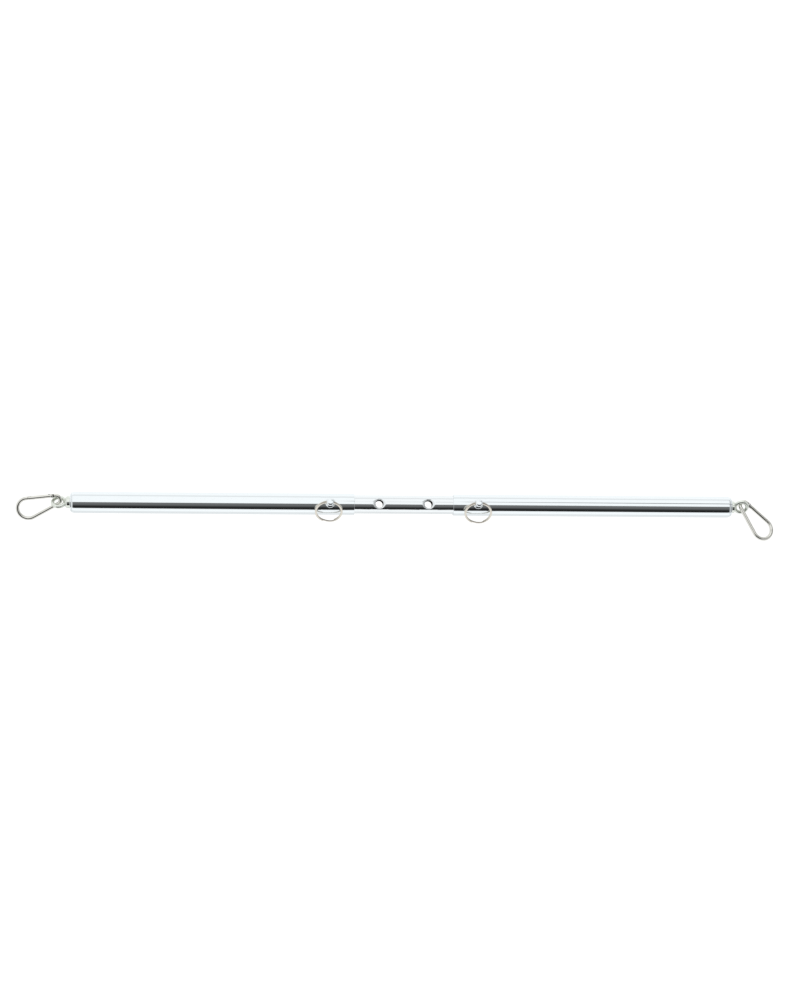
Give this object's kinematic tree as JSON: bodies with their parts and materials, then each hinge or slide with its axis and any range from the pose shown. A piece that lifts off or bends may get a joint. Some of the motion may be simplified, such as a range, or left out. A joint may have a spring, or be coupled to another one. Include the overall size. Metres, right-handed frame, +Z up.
{
  "type": "adjustable spreader bar with snap hooks",
  "caption": "Telescoping polished steel spreader bar with spring plungers, split pull rings, and a swivelling eye and pear-shaped snap hook at each end.",
  "frame": {"origin": "middle of the bar, on the tubes' axis", "axes": "+X along the bar towards the right end, +Z up through the plungers; the bar lies on a floor at z = -0.011"},
  "size_m": [0.7738, 0.0454, 0.0364],
  "materials": {
    "tube_chrome": "mirror-polished steel",
    "inner_tube_chrome": "polished steel",
    "nickel_plate": "polished nickel plate",
    "zinc_plate": "bright zinc plate",
    "plain_steel": "machined steel"
  },
  "bodies": {
    "centre_tube": {"inner_tube": "inner_tube_chrome"},
    "left_arm": {"left_outer_tube": "tube_chrome", "left_plunger_boss": "tube_chrome", "left_plunger_spring": "plain_steel", "left_end_plug": "tube_chrome"},
    "left_plunger": {"left_lock_pin": "plain_steel", "left_pull_knob": "tube_chrome"},
    "left_ring": {"left_pull_ring": "nickel_plate"},
    "left_eye": {"left_swivel_eye": "zinc_plate", "left_eye_nut": "plain_steel"},
    "left_hook": {"left_hook_body": "nickel_plate", "left_gate_rivet": "plain_steel"},
    "left_gate": {"left_hook_gate": "nickel_plate", "left_gate_spring": "plain_steel"},
    "right_arm": {"right_outer_tube": "tube_chrome", "right_plunger_boss": "tube_chrome", "right_plunger_spring": "plain_steel", "right_end_plug": "tube_chrome"},
    "right_plunger": {"right_lock_pin": "plain_steel", "right_pull_knob": "tube_chrome"},
    "right_ring": {"right_pull_ring": "nickel_plate"},
    "right_eye": {"right_swivel_eye": "zinc_plate", "right_eye_nut": "plain_steel"},
    "right_hook": {"right_hook_body": "nickel_plate", "right_gate_rivet": "plain_steel"},
    "right_gate": {"right_hook_gate": "nickel_plate", "right_gate_spring": "plain_steel"}
  },
  "joints": [
    {"name": "left_tube_slide", "type": "slide", "parent": "centre_tube", "child": "left_arm", "axis": [-1, 0, 0], "range_m": [-0.05, 0.1]},
    {"name": "left_pin_pull", "type": "slide", "parent": "left_arm", "child": "left_plunger", "axis": [0, 0, 1], "range_m": [-0.0021, 0.0005], "stiffness_N_per_m": 1500, "springref_m": -0.004, "deforming": ["left_plunger_spring"]},
    {"name": "left_ring_swing", "type": "hinge", "parent": "left_plunger", "child": "left_ring", "pos_m": [-0.075, 0, 0.022], "axis": [1, 0, 0], "range_deg": [-270, 4]},
    {"name": "left_eye_swivel", "type": "hinge", "parent": "left_arm", "child": "left_eye", "pos_m": [-0.3483, 0, 0], "axis": [1, 0, 0], "continuous": true},
    {"name": "left_hook_swing", "type": "hinge", "parent": "left_eye", "child": "left_hook", "pos_m": [-0.3538, -0.0018, 0.0014], "axis": [-0.044, -0.5, 0.8649], "range_deg": [0, 50]},
    {"name": "left_gate_open", "type": "hinge", "parent": "left_hook", "child": "left_gate", "pos_m": [-0.35538, 0.00607, 0.00166], "axis": [-0.0479, -0.3978, 0.9162], "range_deg": [0, 28], "stiffness_Nm_per_rad": 0.02, "springref_deg": -28.65},
    {"name": "right_tube_slide", "type": "slide", "parent": "centre_tube", "child": "right_arm", "axis": [1, 0, 0], "range_m": [-0.05, 0.1]},
    {"name": "right_pin_pull", "type": "slide", "parent": "right_arm", "child": "right_plunger", "axis": [0, 0, 1], "range_m": [-0.0021, 0.0005], "stiffness_N_per_m": 1500, "springref_m": -0.004, "deforming": ["right_plunger_spring"]},
    {"name": "right_ring_swing", "type": "hinge", "parent": "right_plunger", "child": "right_ring", "pos_m": [0.075, 0, 0.022], "axis": [1, 0, 0], "range_deg": [-268, 4.5]},
    {"name": "right_eye_swivel", "type": "hinge", "parent": "right_arm", "child": "right_eye", "pos_m": [0.3473, 0, 0], "axis": [1, 0, 0], "continuous": true},
    {"name": "right_hook_swing", "type": "hinge", "parent": "right_eye", "child": "right_hook", "pos_m": [0.3532, 0.001, 0.0007], "axis": [-0.031, 0.2989, 0.9538], "range_deg": [-15, 60]},
    {"name": "right_gate_open", "type": "hinge", "parent": "right_hook", "child": "right_gate", "pos_m": [0.35637, 0.00239, -0.00267], "axis": [-0.2745, -0.1648, -0.9473], "range_deg": [0, 28], "stiffness_Nm_per_rad": 0.02, "springref_deg": -28.65}
  ]
}
